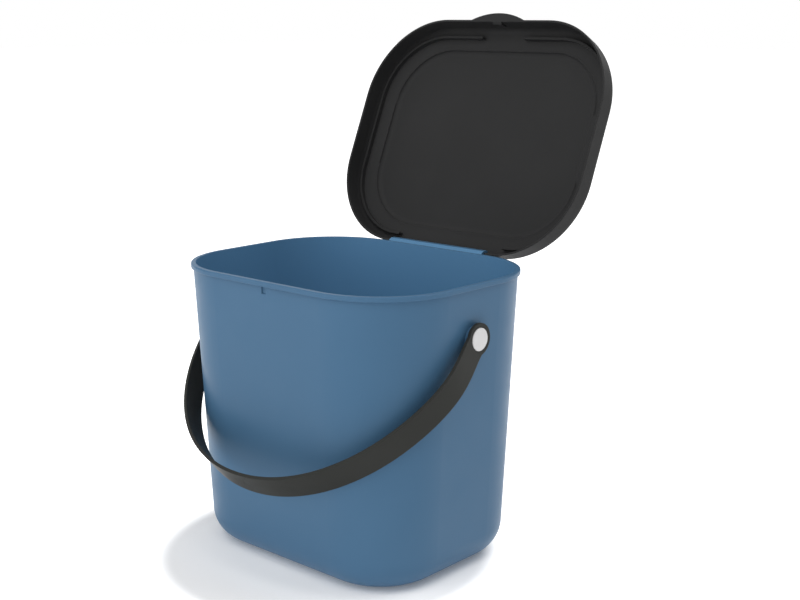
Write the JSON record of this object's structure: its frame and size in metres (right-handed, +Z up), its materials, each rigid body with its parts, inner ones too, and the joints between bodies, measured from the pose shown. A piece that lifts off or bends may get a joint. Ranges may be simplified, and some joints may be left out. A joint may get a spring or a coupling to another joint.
{
  "type": "lidded recycling caddy",
  "caption": "Small tapered bucket for sorting waste, with a thin lip, a stepped lid hinged along the back of the rim and a strap handle that swings on two headed buttons",
  "frame": {"origin": "middle of the flat underside of the bucket", "axes": "+X to the right seen from the front, +Y from the front to the hinge at the back, +Z up out of the bucket's mouth"},
  "size_m": [0.2318, 0.2874, 0.3729],
  "materials": {
    "blue_plastic": "satin moulded",
    "dark_lid_plastic": "satin moulded",
    "dark_handle_plastic": "satin moulded",
    "pale_button_plastic": "satin moulded"
  },
  "bodies": {
    "bucket": {"bucket": "blue_plastic", "pivot_button_right": "pale_button_plastic", "pivot_button_left": "pale_button_plastic"},
    "lid": {"lid": "dark_lid_plastic"},
    "handle": {"handle": "dark_handle_plastic"}
  },
  "joints": [
    {"name": "lid_hinge", "type": "hinge", "parent": "bucket", "child": "lid", "pos_m": [0, 0.0911, 0.1999], "axis": [1, 0, 0], "range_deg": [0, 113.1]},
    {"name": "handle_pivot", "type": "hinge", "parent": "bucket", "child": "handle", "pos_m": [0, 0, 0.167], "axis": [-1, 0, 0], "range_deg": [0, 187]}
  ]
}
